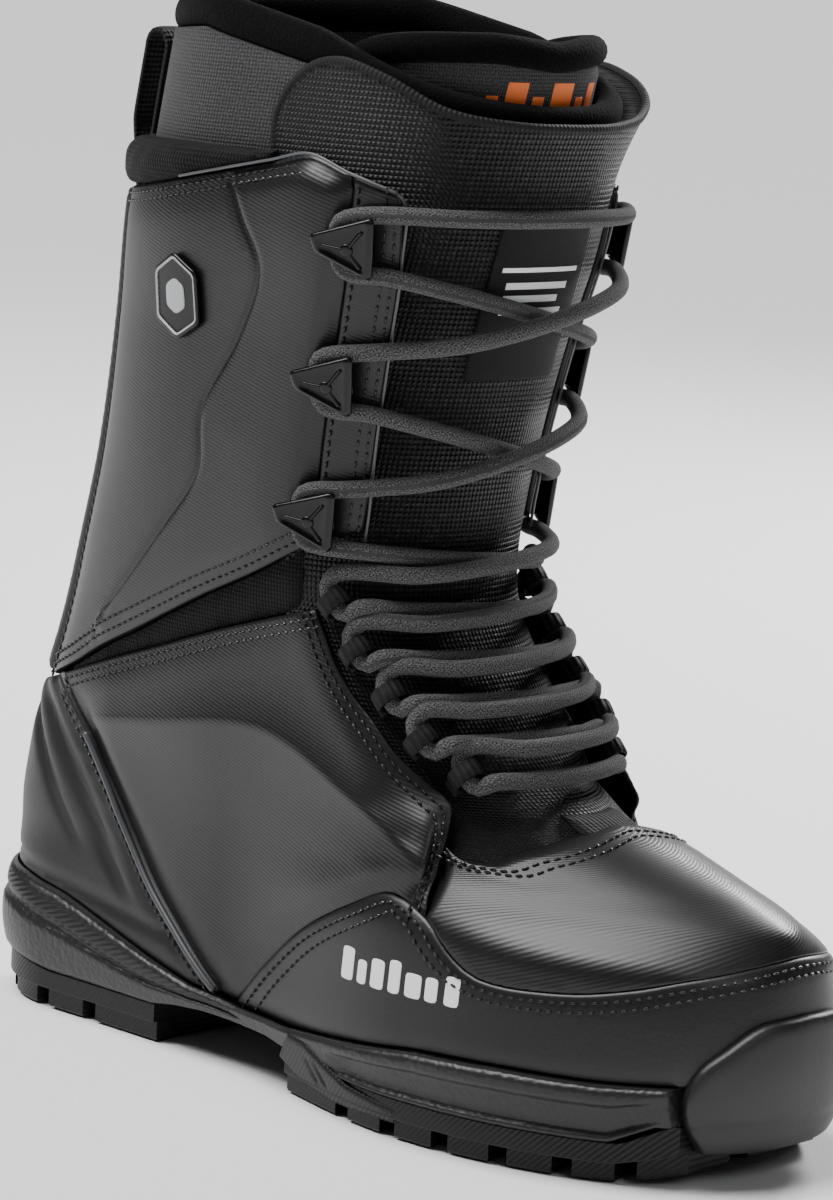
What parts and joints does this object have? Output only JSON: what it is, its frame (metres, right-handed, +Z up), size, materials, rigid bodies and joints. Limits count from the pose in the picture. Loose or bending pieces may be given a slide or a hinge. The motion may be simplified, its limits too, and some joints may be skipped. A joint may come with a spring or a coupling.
{
  "type": "snowboard boot",
  "caption": "Lace-up snowboard boot with a lugged rubber sole, a hinged leg over a flex notch, webbing loops and hooks for the lace, a removable padded liner and a rear pull loop.",
  "frame": {"origin": "centre of the overall box at ground level, under the sole", "axes": "+X towards the inner (medial) side of this right boot, -Y towards the toe, +Z up the leg"},
  "size_m": [0.1264, 0.3119, 0.321],
  "materials": {
    "outsole_rubber": "matte",
    "midsole_foam": "matte",
    "board_fibre": "matte",
    "liner_foam": "matte",
    "rand_synthetic": "satin",
    "coated_twill": "satin",
    "counter_rubber": "matte",
    "grey_piping": "gloss",
    "black_knit": "matte",
    "heather_knit": "matte",
    "black_fleece": "matte",
    "ballistic_mesh": "matte",
    "label_patch": "satin",
    "badge_plastic": "satin",
    "woven_lace": "matte",
    "webbing": "matte",
    "hook_plastic": "gloss"
  },
  "bodies": {
    "foot": {"outsole_heel": "outsole_rubber", "outsole_forefoot": "outsole_rubber", "midsole": "midsole_foam", "lasting_board": "board_fibre", "footbed": "liner_foam", "rand": "rand_synthetic", "vamp": "coated_twill", "quarter_lateral": "coated_twill", "quarter_medial": "coated_twill", "heel_counter": "counter_rubber", "heel_piping_lateral": "grey_piping", "heel_piping_medial": "grey_piping", "ankle_gusset_lateral": "black_knit", "ankle_gusset_medial": "black_knit", "liner_foot": "liner_foam", "lace_loop_lateral_1": "webbing", "lace_loop_lateral_2": "webbing", "lace_loop_lateral_3": "webbing", "lace_loop_lateral_4": "webbing", "lace_loop_lateral_5": "webbing", "lace_loop_medial_1": "webbing", "lace_loop_medial_2": "webbing", "lace_loop_medial_3": "webbing", "lace_loop_medial_4": "webbing", "lace_loop_medial_5": "webbing"},
    "cuff": {"shaft_lateral": "coated_twill", "shaft_medial": "coated_twill", "backstay": "counter_rubber", "eyestay_lateral": "coated_twill", "eyestay_medial": "coated_twill", "shell_collar": "black_knit", "badge": "badge_plastic", "tongue": "ballistic_mesh", "tongue_label": "label_patch", "liner_cuff": "heather_knit", "liner_collar": "black_fleece", "liner_tongue": "black_fleece", "lace": "woven_lace", "lace_hook_lateral_1": "hook_plastic", "lace_hook_lateral_2": "hook_plastic", "lace_hook_lateral_3": "hook_plastic", "lace_hook_medial_1": "hook_plastic", "lace_hook_medial_2": "hook_plastic", "lace_hook_medial_3": "hook_plastic"},
    "pull_loop": {"pull_loop": "webbing"}
  },
  "joints": [
    {"name": "cuff_flex", "type": "hinge", "parent": "foot", "child": "cuff", "pos_m": [0, 0.082, 0.115], "axis": [1, 0, 0], "range_deg": [0, 7], "stiffness_Nm_per_rad": 100, "springref_deg": -1.15, "deforming": ["tongue", "lace", "ankle_gusset_lateral", "ankle_gusset_medial"]},
    {"name": "pull_loop_fold", "type": "hinge", "parent": "cuff", "child": "pull_loop", "pos_m": [0, 0.1107, 0.25], "axis": [-1, 0, 0], "range_deg": [0, 60], "stiffness_Nm_per_rad": 0.05}
  ]
}
